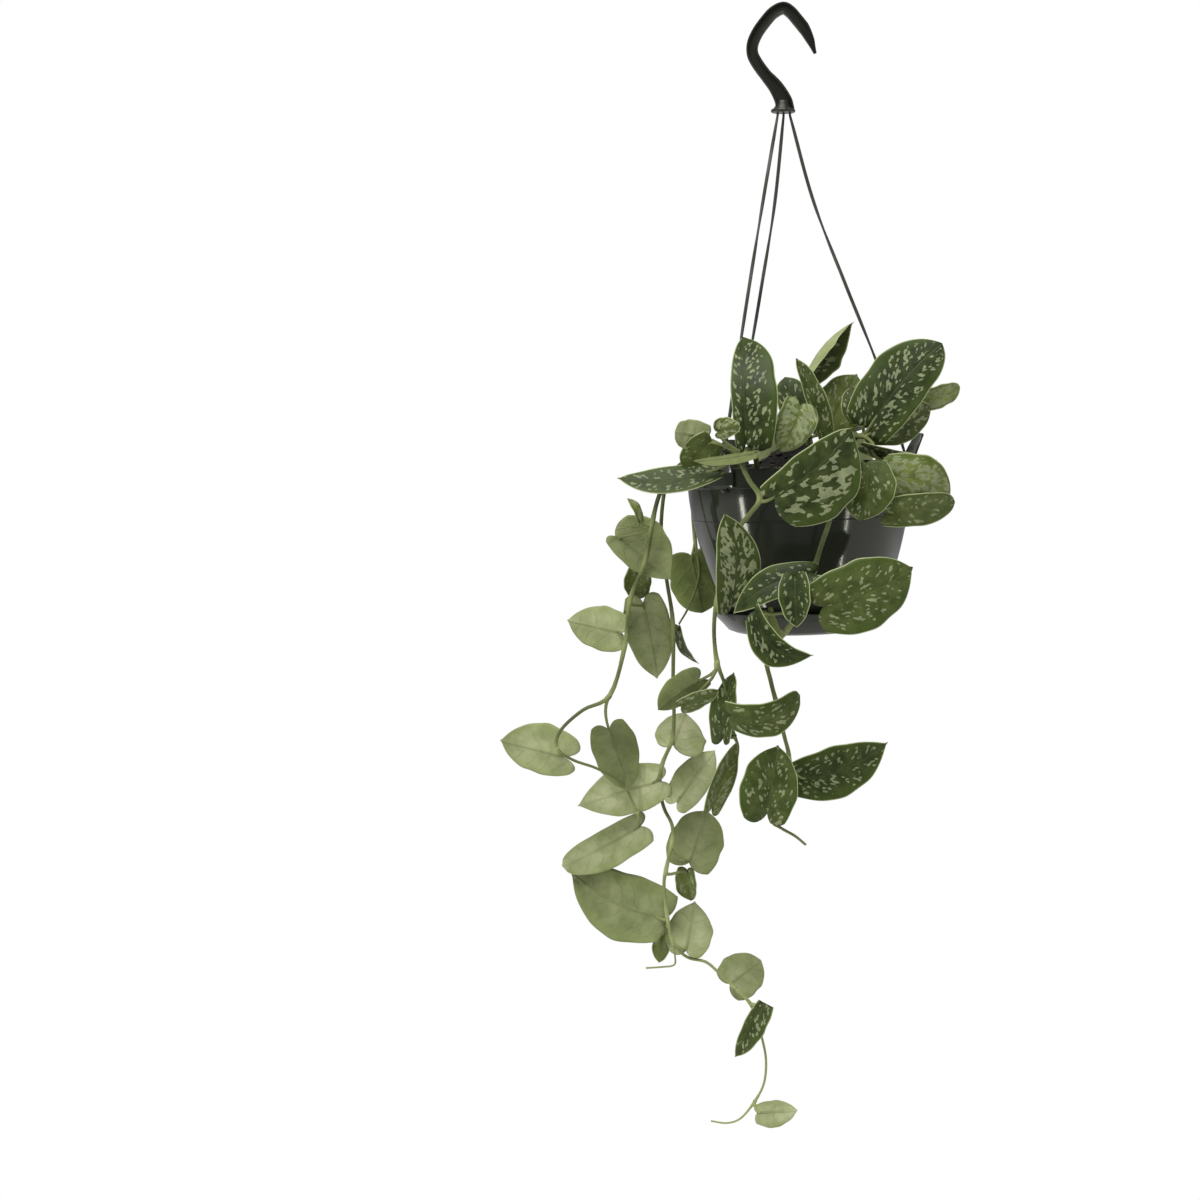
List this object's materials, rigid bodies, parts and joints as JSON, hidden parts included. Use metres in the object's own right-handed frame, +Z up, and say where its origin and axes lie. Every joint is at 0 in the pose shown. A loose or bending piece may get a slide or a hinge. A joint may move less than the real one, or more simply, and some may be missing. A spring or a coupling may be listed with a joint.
{
  "type": "hanging potted plant",
  "caption": "Trailing satin pothos in a charcoal hanging pot with flared ears, clip-on saucer, straps and a hook.",
  "frame": {"origin": "inside top of the hook's bend, where it rests on what it hangs from", "axes": "+Z up; -Y is the pictured front; +X to the pictured right"},
  "size_m": [0.2961, 0.211, 0.725],
  "materials": {
    "charcoal_plastic": "smooth glossy charcoal plastic",
    "strap_plastic": "satin dark grey plastic strap",
    "saucer_plastic": "smooth charcoal plastic",
    "potting_mix": "dark loose potting mix with bits of bark and perlite",
    "leaf_green": "satin green leaves splashed with silver, pale grey-green undersides"
  },
  "bodies": {
    "root": {"hook": "charcoal_plastic", "strap_1": "strap_plastic", "strap_2": "strap_plastic", "strap_3": "strap_plastic", "pot": "charcoal_plastic", "saucer": "saucer_plastic", "soil": "potting_mix", "stem_front_left": "leaf_green", "stem_front_right": "leaf_green", "stem_left_outer": "leaf_green", "stem_left_inner": "leaf_green", "stem_back_left": "leaf_green", "stem_crown_middle": "leaf_green", "stem_crown_right": "leaf_green", "stem_back": "leaf_green"}
  },
  "joints": []
}
